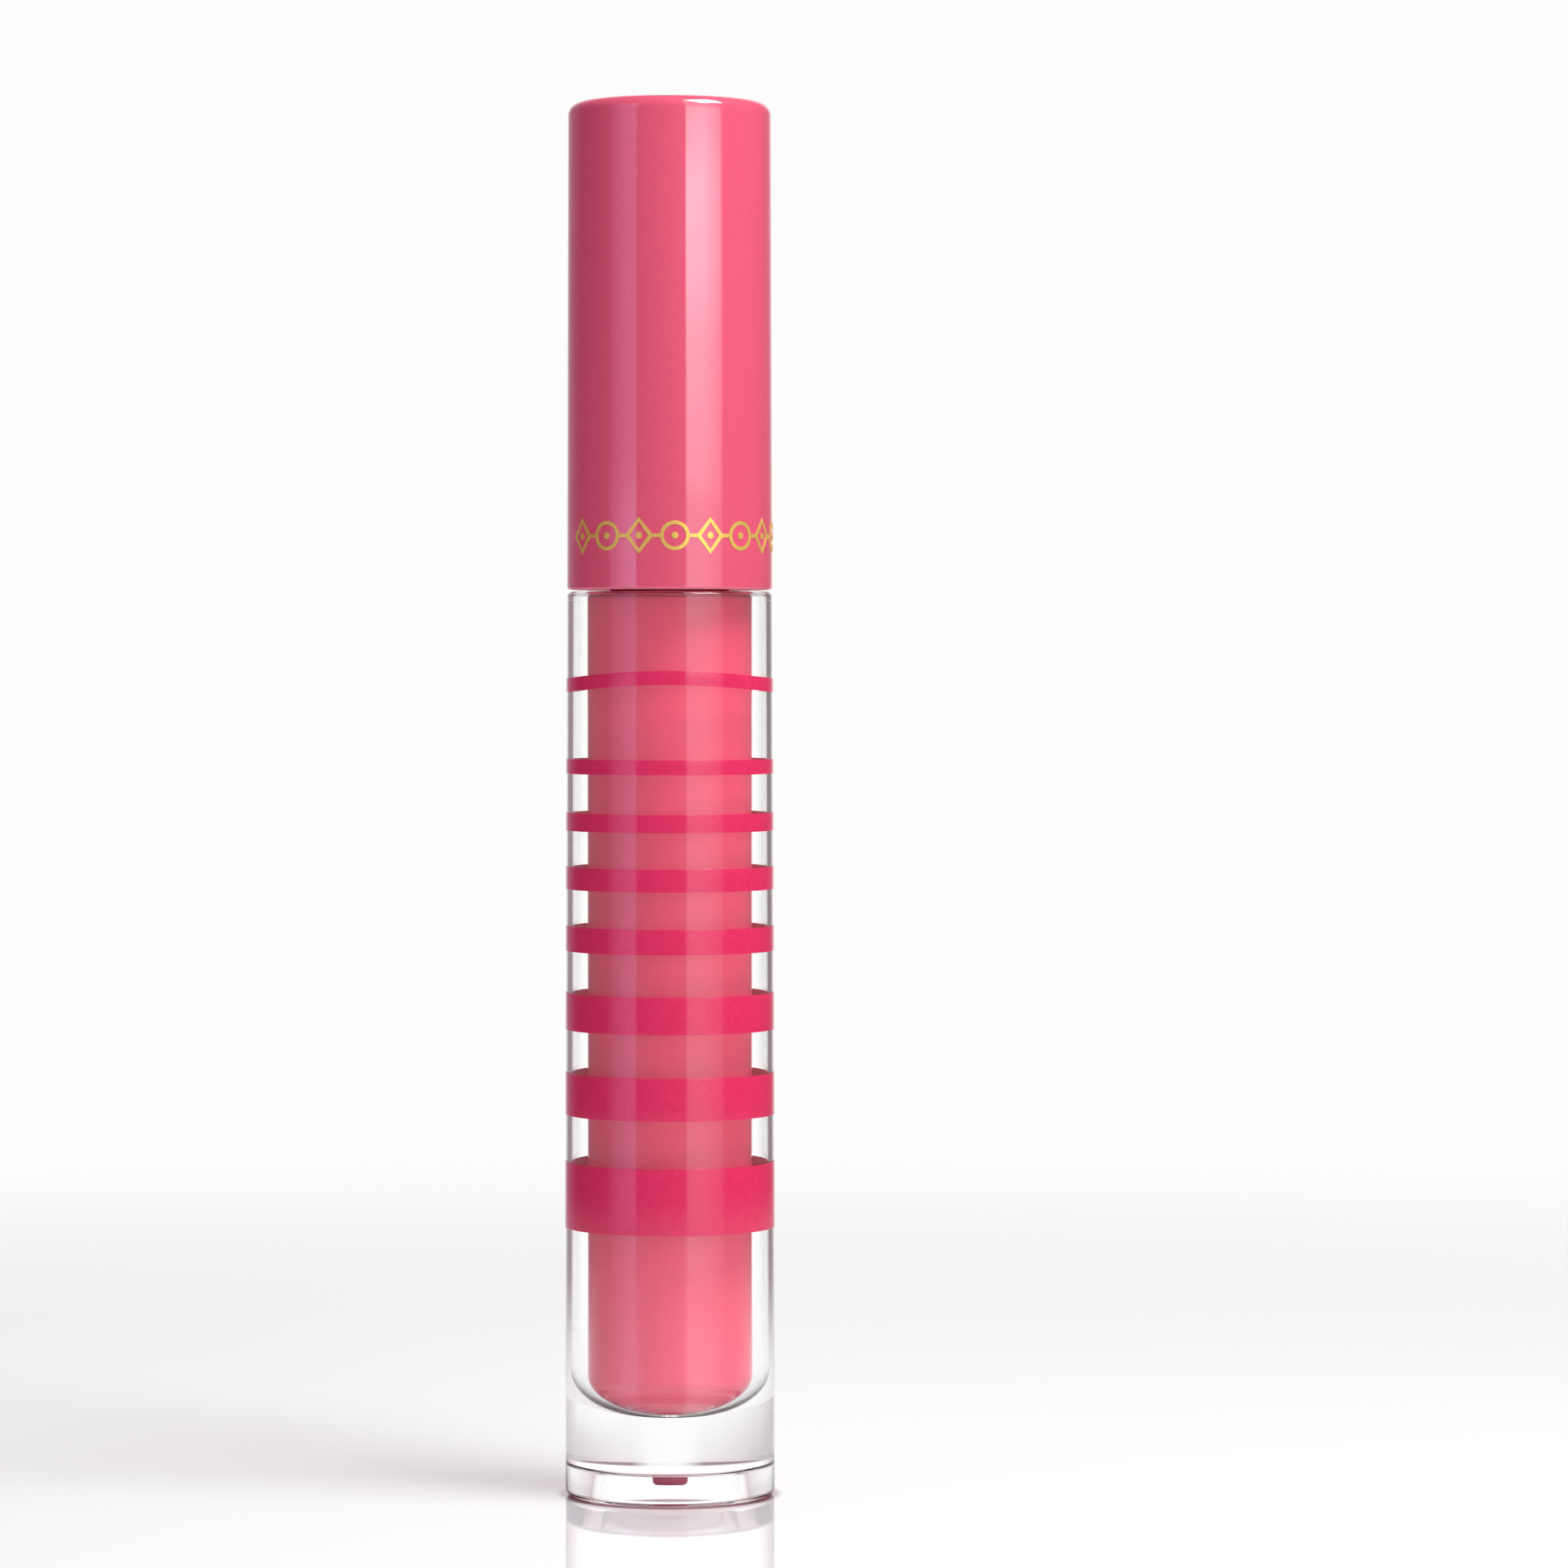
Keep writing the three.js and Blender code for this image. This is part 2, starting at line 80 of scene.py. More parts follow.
# Inner sizes, the same as in the CAD model.
SHELL_TOP_RADIUS = VIAL_RADIUS_MAX
SHELL_BORE = 7.98
BOWL_RADIUS = 8.18
TAPER_START = 10
BOWL_BOTTOM = VIAL_BOTTOM - 0.1
BOWL_DEPTH = 3.7
RECESS_RADIUS = 6.5
RECESS_DEPTH = LABEL_TOP + 0.02
VIAL_RADIUS = 6.8
VIAL_BORE = 6.15
VIAL_BOWL_DEPTH = 3.0
VIAL_FLOOR = VIAL_BOTTOM + 0.45
VIAL_BORE_BOWL_DEPTH = VIAL_BOWL_DEPTH - 0.3
VIAL_CEILING = 74.1
SHOULDER = 74.42
MID_WALL = 60  # a height on the vial's straight wall
FLANGE = 0.72
FLANGE_PLATE = 0.28
DOT_RADIUS = 1.45
DOT_HEIGHT = 0.9
NECK_RADIUS = 4.8
NECK_BORE = 3.4
GLOSS_BORE = 2.65
CAP_BORE = 7.66
CAP_CEILING = 113.3
CAP_TOP_RADIUS = 8.34
INSERT_CEILING = 89.7
THREAD_LEAD = 2.8
THREAD_TURNS = 1.5
THREAD_START = 78.6
NECK_CREST = 0.7
INSERT_ROOT = 5.95
INSERT_CREST = -0.3


# ---------------------------------------------------------------- mesh helpers

def rounded(corners):
    """A profile from corners (radius, height, fillet), with an arc at each filleted corner."""
    points = []
    for i, corner in enumerate(corners):
        fillet = corner[2] if len(corner) > 2 else 0
        here = Vector(corner[:2])
        if not fillet:
            points.append(here)
            continue
        back = (Vector(corners[i - 1][:2]) - here).normalized()
        ahead = (Vector(corners[(i + 1) % len(corners)][:2]) - here).normalized()
        half = back.angle(ahead) / 2
        centre = here + (back + ahead).normalized() * fillet / math.sin(half)
        start = here + back * fillet / math.tan(half) - centre
        end = here + ahead * fillet / math.tan(half) - centre
        turn = math.atan2(start.cross(end), start.dot(end))
        for k in range(ARC_STEPS + 1):
            a = turn * k / ARC_STEPS
            c, s = math.cos(a), math.sin(a)
            points.append(centre + Vector((start.x * c - start.y * s, start.x * s + start.y * c)))
    return points


def bowl(radius, depth, bottom):
    """A quarter ellipse from the axis at the bottom out to the wall."""
    angles = [math.pi / 2 * k / BOWL_STEPS for k in range(BOWL_STEPS + 1)]
    return [Vector((radius * math.sin(a), bottom + depth * (1 - math.cos(a)))) for a in angles]


def ladder(radius, low, high, step=0.1):
    """Points up a straight wall, close enough to carry a thread."""
    count = round(abs(high - low) / step)
    return [Vector((radius, low + (high - low) * k / count)) for k in range(count + 1)]


def make(name, vertices, faces, material, smooth_angle=40):
    """An object from vertices in millimetres."""
    mesh = bpy.data.meshes.new(name)
    mesh.from_pydata([Vector(v) * MM for v in vertices], [], faces)
    mesh.validate()
    mesh.shade_smooth()
    mesh.set_sharp_from_angle(angle=math.radians(smooth_angle))
    mesh.materials.append(material)
    piece = bpy.data.objects.new(name, mesh)
    bpy.context.scene.collection.objects.link(piece)
    return piece


def place(radius, angle, height):
    """A point at an angle round the axis, counted from the front to the right."""
    return (radius * math.sin(angle), -radius * math.cos(angle), height)


def round_angles(count):
    """Equal angles all the way round."""
    return [2 * math.pi * k / count for k in range(count)]


def tube_faces(low, high, sides):
    """Faces between two rings of vertices, which start at the numbers low and high."""
    ahead = [(k + 1) % sides for k in range(sides)]
    return [(low + k, low + ahead[k], high + ahead[k], high + k) for k in range(sides)]


def lathe(name, profile, material, closed=False, swell=None, segments=SEGMENTS):
    """A surface of revolution. swell(radius, height, angle) gives how far a point moves out."""
    vertices, rows = [], []
    for radius, height in profile:
        if radius < 1e-6:
            rows.append([len(vertices)] * segments)
            vertices.append((0, 0, height))
            continue
        rows.append(range(len(vertices), len(vertices) + segments))
        for angle in round_angles(segments):
            out = swell(radius, height, angle) if swell else 0
            vertices.append(place(radius + out, angle, height))
    if closed:
        rows.append(rows[0])
    faces = []
    for low, high in zip(rows, rows[1:]):
        for s in range(segments):
            t = (s + 1) % segments
            faces.append(tuple(dict.fromkeys((low[s], low[t], high[t], high[s]))))
    return make(name, vertices, faces, material)


def thread(root, crest, start):
    """A swell that raises one screw thread on the wall at the root radius."""
    half_width, half_land, run_out = 0.75, 0.3, 0.2

    def swell(radius, height, angle):
        share = angle / (2 * math.pi)
        along = round((height - start) / THREAD_LEAD - share) + share
        if abs(radius - root) > 1e-4 or not 0 <= along <= THREAD_TURNS:
            return 0
        away = abs(height - start - THREAD_LEAD * along)
        fade = min(1, along / run_out, (THREAD_TURNS - along) / run_out)
        flank = (half_width - away) / (half_width - half_land)
        return crest * max(0, min(1, flank)) * fade

    return swell


def level_normals(piece, low, high):
    """Makes the shading of the wall's inner side between two heights that of an upright wall."""
    mesh = piece.data
    normals = [Vector(normal.vector) for normal in mesh.corner_normals]
    for loop in mesh.loops:
        x, y, z = mesh.vertices[loop.vertex_index].co / MM
        radius = math.hypot(x, y)
        if low < z < high and 0.05 < radius < BOWL_RADIUS + 0.1:
            normals[loop.index] = Vector((-x, -y, 0)) / radius
    mesh.normals_split_custom_set(normals)


def stand_for(piece, body, slot, *nodes):
    """The piece rides on a body and stands for CAD nodes, which it hides. The slot is not used."""
    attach(piece, body)
    if nodes:
        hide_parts(*nodes)


# ---------------------------------------------------------------- node helpers

def add_node(tree, kind, links=(), **settings):
    """A node with its settings. Each input gets a value, or a link from a socket."""
    made = tree.nodes.new(kind)
    for key, value in settings.items():
        setattr(made, key, value)
    for key, value in dict(links).items():
        if isinstance(value, bpy.types.NodeSocket):
            tree.links.new(value, made.inputs[key])
        else:
            made.inputs[key].default_value = value
    return made


def add_math(tree, operation, *values):
    return add_node(tree, "ShaderNodeMath", dict(enumerate(values)), operation=operation).outputs[0]


def add_ramp(tree, factor, stops):
    """A colour ramp from stops (position, grey level or colour)."""
    made = add_node(tree, "ShaderNodeValToRGB", {"Fac": factor})
    elements = made.color_ramp.elements
    while len(elements) < len(stops):
        elements.new(0.5)
    for element, (position, level) in zip(elements, stops):
        element.position = position
        element.color = (*(level if isinstance(level, tuple) else (level,) * 3), 1)
    return made.outputs["Color"]


# ---------------------------------------------------------------- materials

class Surface:
    """A Principled material with constant sockets, and short calls for its texture nodes."""

    def __init__(self, name, **values):
        self.material = bpy.data.materials.new(name)
        self.material.use_nodes = True
        self.tree = self.material.node_tree
        self.shader = self.tree.nodes["Principled BSDF"]
        self.output = self.tree.nodes["Material Output"]
        for key, value in values.items():
            socket = key.replace("_", " ").title().replace("Ior", "IOR")
            self.shader.inputs[socket].default_value = value

    def node(self, kind, links=(), **settings):
        return add_node(self.tree, kind, links, **settings)

    def math(self, operation, *values):
        return add_math(self.tree, operation, *values)

    def ramp(self, factor, *stops):
        return add_ramp(self.tree, factor, stops)

    def coords(self):
        """The object's own coordinates, in metres."""
        return self.node("ShaderNodeTexCoord").outputs["Object"]

    def from_axis(self):
        """The distance from the tube's axis, in metres."""
        split = self.node("ShaderNodeSeparateXYZ", {"Vector": self.coords()}).outputs
        flat = self.node("ShaderNodeCombineXYZ", {"X": split["X"], "Y": split["Y"]}).outputs[0]
        return self.node("ShaderNodeVectorMath", {0: flat}, operation="LENGTH").outputs["Value"]

    def noise(self, scale, detail=3, stretch=(1, 1, 1)):
        """Noise in the object's own space, in features per metre."""
        links = {"Vector": self.coords(), "Scale": stretch}
        mapped = self.node("ShaderNodeMapping", links).outputs["Vector"]
        links = {"Vector": mapped, "Scale": scale, "Detail": detail}
        return self.node("ShaderNodeTexNoise", links).outputs["Fac"]

    def span(self, factor, low, high, source=(0, 1)):
        """A value mapped from one range to another."""
        links = {"Value": factor, "From Min": source[0], "From Max": source[1],
                 "To Min": low, "To Max": high}
        return self.node("ShaderNodeMapRange", links).outputs["Result"]

    def mix(self, factor, off, on):
        """The shader off where the factor is 0 and the shader on where it is 1."""
        return self.node("ShaderNodeMixShader", {0: factor, 1: off, 2: on}).outputs["Shader"]

    def set(self, socket, value):
        self.tree.links.new(value, self.shader.inputs[socket])

    def show(self, shader):
        self.tree.links.new(shader, self.output.inputs["Surface"])

    def bump(self, height, strength, distance):
        """Bump with a relief in metres."""
        links = {"Height": height, "Strength": strength, "Distance": distance}
        self.set("Normal", self.node("ShaderNodeBump", links).outputs["Normal"])

    def let_light_through(self, share):
        """Lets a share of the light that travels to or from matt surfaces pass straight through."""
        path = self.node("ShaderNodeLightPath").outputs
        shown = self.shader.outputs["BSDF"]
        passed = self.node("ShaderNodeBsdfTransparent").outputs["BSDF"]
        if share < 1:
            passed = self.mix(share, shown, passed)
        for ray in ("Is Diffuse Ray", "Is Shadow Ray"):
            shown = self.mix(path[ray], shown, passed)
        self.show(shown)


def clear_plastic():
    """Polished clear polyester with a faint flow ripple from the mould. Light that goes on to
    matt surfaces passes straight through it, so what stands inside is lit cleanly."""
    s = Surface("clear_plastic", base_color=(1, 1, 1, 1), roughness=0.012, ior=1.53,
                transmission_weight=1.0)
    s.bump(s.noise(90, detail=1), 0.05, 0.0001)
    s.let_light_through(1.0)
    return s.material


def gloss_cream():
    """Opaque pink gloss: two close pinks that drift into each other."""
    s = Surface("gloss_cream", roughness=0.33, specular_ior_level=0.38)
    drift = s.noise(160, detail=4, stretch=(1, 1, 0.3))
    s.set("Base Color", s.ramp(drift, (0.3, (0.91, 0.076, 0.142)), (0.7, (0.96, 0.090, 0.162))))
    s.bump(s.noise(1200, detail=2), 0.08, 0.0001)
    return s.material


def ink():
    """Screen-printed ink: nearly flat colour with the mesh's fine grain."""
    s = Surface("ink", roughness=0.12, coat_weight=0.3, coat_roughness=0.05)
    grain = s.noise(2600)
    s.set("Base Color", s.ramp(grain, (0.3, (0.68, 0.024, 0.100)), (0.7, (0.74, 0.030, 0.114))))
    s.bump(grain, 0.06, 0.00003)
    s.let_light_through(0.6)
    return s.material


def cap_plastic():
    """High-gloss pink with a very fine pearl, under a clear skin."""
    s = Surface("cap_plastic", roughness=0.34, coat_weight=1.0, coat_roughness=0.02, coat_ior=1.9,
                specular_ior_level=0.1)
    pearl = s.noise(9000, detail=2)
    s.set("Base Color", s.ramp(pearl, (0.35, (0.74, 0.086, 0.160)), (0.65, (0.80, 0.100, 0.178))))
    s.set("Roughness", s.span(pearl, 0.28, 0.4))
    s.bump(s.noise(260, detail=1), 0.03, 0.0001)
    return s.material


def gold_foil():
    """Hot-stamped foil: bright gold with tiny dull specks."""
    s = Surface("gold_foil", metallic=0.5)
    specks = s.noise(5200, detail=4)
    s.set("Base Color", s.ramp(specks, (0.3, (0.90, 0.56, 0.10)), (0.7, (0.98, 0.68, 0.17))))
    s.set("Roughness", s.span(specks, 0.3, 0.5))
    s.bump(specks, 0.2, 0.00002)
    return s.material


def insert_plastic():
    """Plain moulded plastic in a deep rose, with a fine even grain."""
    s = Surface("insert_plastic", roughness=0.42)
    grain = s.noise(700)
    s.set("Base Color", s.ramp(grain, (0.3, (0.27, 0.010, 0.045)), (0.7, (0.33, 0.014, 0.055))))
    s.bump(s.noise(3000, detail=2), 0.12, 0.00003)
    return s.material


def white_plastic():
    """Milky stem, stained with gloss at its lower end."""
    s = Surface("white_plastic", roughness=0.24, subsurface_weight=0.25, subsurface_scale=0.0012,
                coat_weight=0.4, coat_roughness=0.08)
    height = s.node("ShaderNodeSeparateXYZ", {"Vector": s.coords()}).outputs["Z"]
    level = s.math("SUBTRACT", height, s.math("MULTIPLY", s.noise(1500), 0.002))
    end = STEM_BOTTOM * MM
    stain = s.span(level, 0, 1, (end - 0.001, end + 0.0028))
    s.set("Base Color", s.ramp(stain, (0.0, (0.80, 0.22, 0.30)), (0.45, (0.86, 0.60, 0.64)),
                               (1.0, (0.89, 0.87, 0.875))))
    s.bump(s.noise(2400, detail=2, stretch=(1, 1, 0.1)), 0.04, 0.00003)
    return s.material


def wiper_plastic():
    """Soft milky plastic."""
    s = Surface("wiper_plastic", roughness=0.38, subsurface_weight=0.4, subsurface_scale=0.0008)
    haze = s.noise(900)
    s.set("Base Color", s.ramp(haze, (0.3, (0.80, 0.78, 0.77)), (0.7, (0.87, 0.85, 0.84))))
    s.bump(s.noise(3500, detail=2), 0.1, 0.00003)
    return s.material


def seal_foam():
    """Foamed liner with fine cells."""
    s = Surface("seal_foam", roughness=0.75)
    links = {"Vector": s.coords(), "Scale": 5000}
    cells = s.node("ShaderNodeTexVoronoi", links).outputs["Distance"]
    s.set("Base Color", s.ramp(cells, (0.1, (0.70, 0.67, 0.65)), (0.6, (0.86, 0.84, 0.82))))
    s.bump(cells, 0.5, 0.00006)
    return s.material


def flock():
    """Nylon flock soaked with gloss, in darker and lighter clumps."""
    s = Surface("flock", roughness=0.42, sheen_weight=0.3, sheen_roughness=0.4, coat_weight=0.45,
                coat_roughness=0.22)
    clump = s.noise(1700, detail=4)
    s.set("Base Color", s.ramp(clump, (0.25, (0.46, 0.055, 0.105)), (0.55, (0.66, 0.105, 0.165)),
                               (0.8, (0.78, 0.16, 0.225))))
    s.bump(s.noise(6000), 0.4, 0.00004)
    return s.material


def wet_gloss():
    """Gloss picked up on the tip, smooth and shiny."""
    s = Surface("wet_gloss", roughness=0.12, coat_weight=0.8, coat_roughness=0.04)
    drift = s.noise(900)
    s.set("Base Color", s.ramp(drift, (0.3, (0.56, 0.075, 0.135)), (0.7, (0.76, 0.15, 0.215))))
    s.bump(s.noise(1500, detail=2), 0.35, 0.0002)
    return s.material


def label_film():
    """Satin white film with a plain rose dot and a hairline ring, by distance from the axis."""
    s = Surface("label_film", roughness=0.45)
    share = s.span(s.from_axis(), 0, 1, (0, LABEL_RADIUS * MM))
    white, rose = (0.86, 0.84, 0.84), (0.62, 0.05, 0.13)
    s.set("Base Color", s.ramp(share, (0.0, rose), (0.30, rose), (0.32, white), (0.84, white),
                               (0.85, rose), (0.88, rose), (0.89, white)))
    s.bump(s.noise(2500, detail=2), 0.1, 0.00002)
    return s.material


CLEAR = clear_plastic()
CREAM = gloss_cream()
INK = ink()
CAP = cap_plastic()
GOLD = gold_foil()
INSERT = insert_plastic()
WHITE = white_plastic()
WIPER = wiper_plastic()
FOAM = seal_foam()
FLOCK = flock()
WET = wet_gloss()
LABEL = label_film()


# ---------------------------------------------------------------- bottle

def shell_radius(height):
    """The outer radius of the shell, straight at its foot and slightly tapered above."""
    share = min(max((height - TAPER_START) / (SHELL_RIM - TAPER_START), 0), 1)
    return SHELL_RADIUS + (SHELL_TOP_RADIUS - SHELL_RADIUS) * share


def outer_shell():
    """The clear shell: a recess under its foot, a solid base and a bowl that the vial stands in."""
    outside = rounded([
        (0, RECESS_DEPTH),
        (RECESS_RADIUS - 0.35, RECESS_DEPTH, 0.3),
        (RECESS_RADIUS, 0, 0.2),
        (SHELL_RADIUS, 0, 0.6),
        (SHELL_RADIUS, TAPER_START),
        (SHELL_TOP_RADIUS, SHELL_RIM),
        (SHELL_BORE, SHELL_RIM),
    ])
    profile = outside + bowl(BOWL_RADIUS, BOWL_DEPTH, BOWL_BOTTOM)[::-1]
    piece = lathe("shell_clear", profile, CLEAR)
    level_normals(piece, BOWL_BOTTOM - 0.01, BOWL_BOTTOM + BOWL_DEPTH + 0.01)
    stand_for(piece, "bottle", "clear_plastic", "outer_shell")


def inner_vial():
    """The clear vial: a round bottom, a flange on the shell's rim, and the threaded neck."""
    flange_bottom, plate_bottom = SHOULDER - FLANGE, SHOULDER - FLANGE_PLATE
    bead_radius, thread_wall = 5.3, (77, 86)
    outside = rounded([
        (VIAL_RADIUS, flange_bottom - 1),
        (VIAL_RADIUS, plate_bottom, 0.15),
        (SHELL_BORE, plate_bottom, 0.15),
        (SHELL_BORE, flange_bottom),
        (SHELL_TOP_RADIUS, flange_bottom),
        (SHELL_TOP_RADIUS, SHOULDER, 0.4),
        (NECK_RADIUS, SHOULDER, 0.3),
        (NECK_RADIUS, 75.2, 0.15),
        (bead_radius, 75.45, 0.1),
        (bead_radius, 75.95, 0.1),
        (NECK_RADIUS, 76.2, 0.15),
        (NECK_RADIUS, thread_wall[0]),
    ])[1:]
    inside = rounded([
        (NECK_RADIUS, thread_wall[1]),
        (NECK_RADIUS, NECK_TOP, 0.25),
        (NECK_BORE, NECK_TOP, 0.15),
        (NECK_BORE, VIAL_CEILING, 0.2),
        (VIAL_BORE, VIAL_CEILING, 0.25),
        (VIAL_BORE, MID_WALL),
    ])[:-1]
    profile = [
        *bowl(VIAL_RADIUS, VIAL_BOWL_DEPTH, VIAL_BOTTOM),
        *outside,
        *ladder(NECK_RADIUS, *thread_wall)[1:],
        *inside[1:],
        *bowl(VIAL_BORE, VIAL_BORE_BOWL_DEPTH, VIAL_FLOOR)[::-1],
    ]
    piece = lathe("vial_clear", profile, CLEAR, swell=thread(NECK_RADIUS, NECK_CREST, THREAD_START))
    stand_for(piece, "bottle", "clear_plastic", "inner_vial")


def gloss_fill():
    """The gloss. It wets the vial, so its surface lies a hair inside the wall."""
    wet = 0.03
    radius, top, bore_bottom = VIAL_BORE + wet, VIAL_CEILING + wet, VIAL_FLOOR + 0.45
    outside = bowl(radius, VIAL_BORE_BOWL_DEPTH, VIAL_FLOOR - wet)
    inside = rounded([
        (radius, MID_WALL),
        (radius, top, 0.25),
        (NECK_BORE - 0.1, top, 0.1),
        (GLOSS_BORE, VIAL_CEILING - 0.6, 0.3),
        (GLOSS_BORE, bore_bottom, 0.2),
        (0, bore_bottom),
    ])[1:]
    stand_for(lathe("gloss_column", outside + inside, CREAM), "bottle", "gloss", "gloss_fill")


def band(node):
    """A printed band. Its ends overlap at the back, and the first band arches at front and back."""
    low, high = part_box(node)
    bottom, top = low[2] / MM, high[2] / MM
    arch = 0.65 if node == "band_1" else 0
    top -= arch
    ink_height, gap, overlap, overlap_lift = 0.04, 0.02, 0.05, 0.015
    profile = rounded([
        (shell_radius(bottom) + gap, bottom),
        (shell_radius(bottom) + gap + ink_height, bottom, 0.015),
        (shell_radius(top) + gap + ink_height, top, 0.015),
        (shell_radius(top) + gap, top),
    ])

    def swell(radius, height, angle):
        outer = radius > shell_radius(height) + gap + ink_height / 2
        return overlap_lift if outer and abs(angle - math.pi) < overlap else 0

    piece = lathe(f"print_{node}", profile, INK, closed=True, swell=swell)
    for vertex in piece.data.vertices:
        share = vertex.co.y / (SHELL_RADIUS * MM)
        vertex.co.z += arch * MM * share * share
    stand_for(piece, "bottle", "ink", node)


def wiper():
    """The soft sleeve in the neck, which narrows to a lip round the stem."""
    outer, inner = NECK_BORE - 0.02, NECK_BORE - 0.52
    orifice = STEM_RADIUS + 0.05
    seat = NECK_TOP + 0.02
    cone_top, lip = 80, 0.45
    profile = rounded([
        (orifice, WIPER_BOTTOM, 0.1),
        (outer, cone_top, 0.4),
        (outer, seat, 0.05),
        (WIPER_FLANGE, seat, 0.1),
        (WIPER_FLANGE, WIPER_TOP, 0.2),
        (inner, WIPER_TOP, 0.3),
        (inner, cone_top + 0.2, 0.4),
        (orifice, WIPER_BOTTOM + lip, 0.1),
    ])
    piece = lathe("wiper_sleeve", profile, WIPER, closed=True)
    stand_for(piece, "bottle", "wiper_plastic", "wiper")


def base_label():
    """The label on the recess's ceiling, with a raised dot in its middle."""
    face = LABEL_BOTTOM + DOT_HEIGHT
    profile = rounded([
        (0, LABEL_BOTTOM),
        (DOT_RADIUS, LABEL_BOTTOM, 0.4),
        (DOT_RADIUS, face, 0.05),
        (LABEL_RADIUS, face, 0.03),
        (LABEL_RADIUS, LABEL_TOP, 0.03),
        (0, LABEL_TOP),
    ])
    stand_for(lathe("shade_label", profile, LABEL), "bottle", "label_film", "base_label")


# ---------------------------------------------------------------- cap

def cap_radius(height):
    """The outer radius of the cap, which tapers from its mouth to its top."""
    share = (height - CAP_MOUTH) / (CAP_TOP - CAP_MOUTH)
    return CAP_MOUTH_RADIUS + (CAP_TOP_RADIUS - CAP_MOUTH_RADIUS) * share


def cap_overshell():
    """The glossy cover of the cap."""
    profile = rounded([
        (0, CAP_CEILING),
        (CAP_BORE, CAP_CEILING, 0.4),
        (CAP_BORE, CAP_MOUTH, 0.2),
        (CAP_MOUTH_RADIUS, CAP_MOUTH, 0.25),
        (CAP_TOP_RADIUS, CAP_TOP, 1.05),
        (0, CAP_TOP),
    ])
    stand_for(lathe("cap_cover", profile, CAP), "cap", "cap_plastic", "cap_overshell")


def cap_insert():
    """The threaded inner cap, with ribs round its skirt that hold it in the cover."""
    socket, socket_end = STEM_RADIUS + 0.05, 96.9
    thread_wall = 88, 78
    skirt, skirt_end, collar_top, post = 6.9, 86.5, 91.2, 3.2
    rib_count, rib_height, rib_ends = 24, 0.35, (77.5, 86.6)
    start = rounded([
        (0, socket_end),
        (socket, socket_end, 0.1),
        (socket, INSERT_CEILING, 0.15),
        (INSERT_ROOT, INSERT_CEILING, 0.2),
        (INSERT_ROOT, thread_wall[0]),
    ])
    end = rounded([
        (INSERT_ROOT, thread_wall[1]),
        (INSERT_ROOT, INSERT_BOTTOM, 0.25),
        (skirt, INSERT_BOTTOM, 0.25),
        (skirt, skirt_end),
        (INSERT_RADIUS, 87, 0.1),
        (INSERT_RADIUS, collar_top, 0.2),
        (post, collar_top, 0.3),
        (post, POST_TOP, 0.3),
        (0, POST_TOP),
    ])
    profile = [*start, *ladder(INSERT_ROOT, *thread_wall)[1:-1], *end]
    helix = thread(INSERT_ROOT, INSERT_CREST, THREAD_START + THREAD_LEAD / 2)

    def swell(radius, height, angle):
        if radius > skirt - 0.05 and rib_ends[0] < height < rib_ends[1]:
            return rib_height * max(0, math.cos(rib_count * angle)) ** 6
        return helix(radius, height, angle)

    piece = lathe("cap_inner_thread", profile, INSERT, swell=swell)
    stand_for(piece, "cap", "insert_plastic", "cap_insert")


def seal_washer():
    """The foam ring between the wiper's flange and the cap."""
    bore = 1.9
    profile = rounded([
        (bore, WASHER_BOTTOM, 0.15),
        (WASHER_RADIUS, WASHER_BOTTOM, 0.15),
        (WASHER_RADIUS, WASHER_TOP, 0.15),
        (bore, WASHER_TOP, 0.15),
    ])
    stand_for(lathe("liner_ring", profile, FOAM, closed=True), "seal", "seal_foam", "seal_washer")


# The foil is a chain of lozenges and rings by turns. Along counts its length round the cap.
MOTIFS = 10
FOIL_START = math.radians(-66)
FOIL_MIDDLE = (FOIL_BOTTOM + FOIL_TOP) / 2
FOIL_RADIUS = cap_radius(FOIL_MIDDLE)
FOIL_PITCH = math.radians(200) * FOIL_RADIUS / MOTIFS
FOIL_GAP = 0.012
FOIL_THICKNESS = 0.03


def motif(across, sharpness):
    """Half height of a motif across its width, from -1 to 1: 1 is a lozenge, 2 a ring."""
    return 0 if abs(across) >= 1 else (1 - abs(across) ** sharpness) ** (1 / sharpness)


def foil_columns():
    """Columns (along, outer half height, half height of the opening) of the chain."""
    stroke, fill, inset_steps, opening_steps = 0.3, 0.82, 4, 14
    half = FOIL_PITCH * fill / 2
    columns = []
    for m in range(MOTIFS):
        sharpness = 1 + m % 2
        height = (FOIL_TOP - FOIL_BOTTOM) / 2 - stroke * (m % 2)
        inset = stroke * (1.4 if sharpness == 1 else 1)
        opening = half - inset
        ends = [inset * k / inset_steps for k in range(inset_steps)]
        turns = [math.pi * (k / opening_steps - 0.5) for k in range(opening_steps + 1)]
        places = {*(end - half for end in ends), *(half - end for end in ends),
                  *(opening * math.sin(turn) for turn in turns)}
        columns += [(
            (m + 0.5) * FOIL_PITCH + p,
            max(stroke / 2, height * motif(p / half, sharpness)),
            (height - inset) * motif(p / opening, sharpness),
        ) for p in sorted(places)]
    return columns


def on_cap(along, height, lift):
    """A point of the foil, at a height above its middle, lifted from its underside."""
    height += FOIL_MIDDLE
    angle = FOIL_START + along / FOIL_RADIUS
    return place(cap_radius(height) + FOIL_GAP + lift, angle, height)


